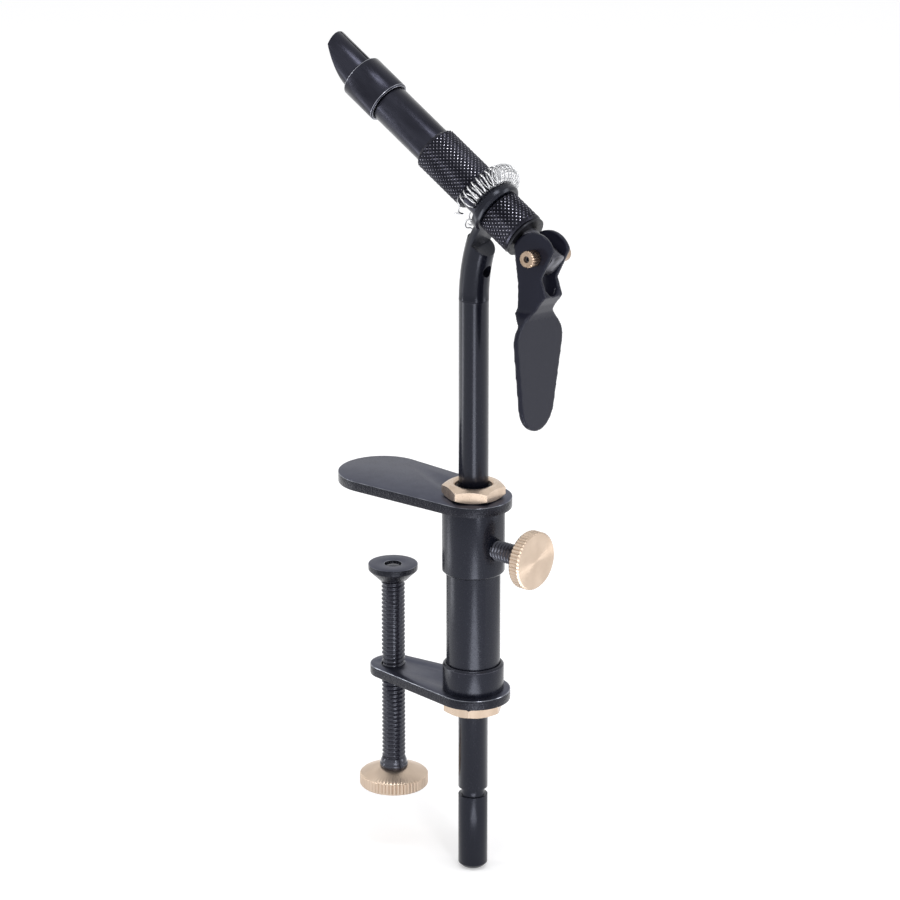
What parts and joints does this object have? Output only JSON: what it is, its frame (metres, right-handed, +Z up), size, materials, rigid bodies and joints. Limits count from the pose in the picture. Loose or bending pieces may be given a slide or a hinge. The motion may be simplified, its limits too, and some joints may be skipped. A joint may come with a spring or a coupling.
{
  "type": "fly tying vise",
  "caption": "Table clamp vise for tying flies: sliding post, turning head with cam lever, drawbar and split jaws, knurled grips, material spring and screw clamp.",
  "frame": {"origin": "clamp screw axis at the plane of the upper plate's underside, where the table's upper face lies", "axes": "+Z up along the post and the clamp screw, jaws towards -X, cam lever and thumb screw towards +X"},
  "size_m": [0.0811, 0.027, 0.238],
  "materials": {
    "slate_steel": "blackened sheet, satin",
    "black_paint": "black, semi gloss",
    "black_steel": "black oxide, satin",
    "blued_steel": "blued, fine turned grain",
    "knurled_steel": "blued, diamond knurled",
    "blackened_thread": "black, oiled thread",
    "brass": "turned, unlacquered",
    "black_liner": "black nylon",
    "spring_wire": "bright spring wire",
    "bright_steel": "plain ground steel"
  },
  "bodies": {
    "clamp": {"upper_plate": "slate_steel", "lower_plate": "slate_steel", "column_tube": "black_paint", "upper_collar": "black_steel", "lower_collar": "black_steel", "upper_nut": "brass", "lower_nut": "brass"},
    "pad": {"clamp_pad": "slate_steel"},
    "spindle": {"clamp_screw": "blackened_thread", "clamp_knob": "brass"},
    "slug": {"pressure_slug": "brass"},
    "thumb": {"thumb_screw": "blackened_thread", "thumb_knob": "brass"},
    "liner": {"post_liner": "black_liner"},
    "post": {"post": "black_paint"},
    "head": {"barrel": "blued_steel", "jaw_collar": "blued_steel", "grip_sleeve": "knurled_steel", "material_spring": "spring_wire"},
    "adjuster": {"adjusting_sleeve": "knurled_steel", "thrust_washer": "black_steel"},
    "drawbar": {"drawbar": "bright_steel", "jaw_pin": "bright_steel"},
    "jaw_near": {"jaw_near": "blued_steel"},
    "jaw_far": {"jaw_far": "blued_steel"},
    "lever": {"lever": "black_steel", "pivot_pin": "bright_steel", "pivot_knob": "brass"}
  },
  "joints": [
    {"name": "clamp_travel", "type": "slide", "parent": "clamp", "child": "pad", "axis": [0, 0, 1], "range_m": [-0.024, 0.0235]},
    {"name": "clamp_turn", "type": "hinge", "parent": "pad", "child": "spindle", "pos_m": [0, 0, -0.09], "axis": [0, 0, 1], "range_deg": [-6900, 6900]},
    {"name": "thumb_travel", "type": "slide", "parent": "clamp", "child": "slug", "axis": [1, 0, 0], "range_m": [0, 0.0016]},
    {"name": "thumb_turn", "type": "hinge", "parent": "slug", "child": "thumb", "pos_m": [0.05, 0, -0.0114], "axis": [1, 0, 0], "range_deg": [0, 580]},
    {"name": "post_swivel", "type": "hinge", "parent": "clamp", "child": "liner", "pos_m": [0.02985, 0, 0], "axis": [0, 0, 1], "continuous": true},
    {"name": "post_height", "type": "slide", "parent": "liner", "child": "post", "axis": [0, 0, 1], "range_m": [-0.05, 0.02]},
    {"name": "head_turn", "type": "hinge", "parent": "post", "child": "head", "pos_m": [0.03751, 0, 0.08798], "axis": [-0.8563, 0, 0.5165], "continuous": true},
    {"name": "sleeve_turn", "type": "hinge", "parent": "head", "child": "adjuster", "pos_m": [0.04355, 0, 0.08434], "axis": [-0.8563, 0, 0.5165], "continuous": true},
    {"name": "drawbar_travel", "type": "slide", "parent": "head", "child": "drawbar", "axis": [-0.8563, 0, 0.5165], "range_m": [0, 0.00095]},
    {"name": "lever_swing", "type": "hinge", "parent": "drawbar", "child": "lever", "pos_m": [0.05438, -0.00007, 0.07731], "axis": [0.0808, -0.9877, 0.1339], "range_deg": [0, 110.5]},
    {"name": "jaw_near_open", "type": "hinge", "parent": "drawbar", "child": "jaw_near", "pos_m": [0.00502, 0, 0.10758], "axis": [0.5033, 0.225, 0.8343], "range_deg": [0, 0.71]},
    {"name": "jaw_far_open", "type": "hinge", "parent": "drawbar", "child": "jaw_far", "pos_m": [0.00502, 0, 0.10758], "axis": [-0.5033, -0.225, -0.8343], "range_deg": [0, 0.71]}
  ],
  "couplings": [
    {"joint": "clamp_turn", "follows": "clamp_travel", "rad_per_m": 4947.4},
    {"joint": "thumb_turn", "follows": "thumb_travel", "rad_per_m": 6283.2},
    {"joint": "lever_swing", "follows": "drawbar_travel", "rad_per_m": 2020.9},
    {"joint": "jaw_near_open", "follows": "drawbar_travel", "rad_per_m": 12.86},
    {"joint": "jaw_far_open", "follows": "drawbar_travel", "rad_per_m": 12.86}
  ]
}
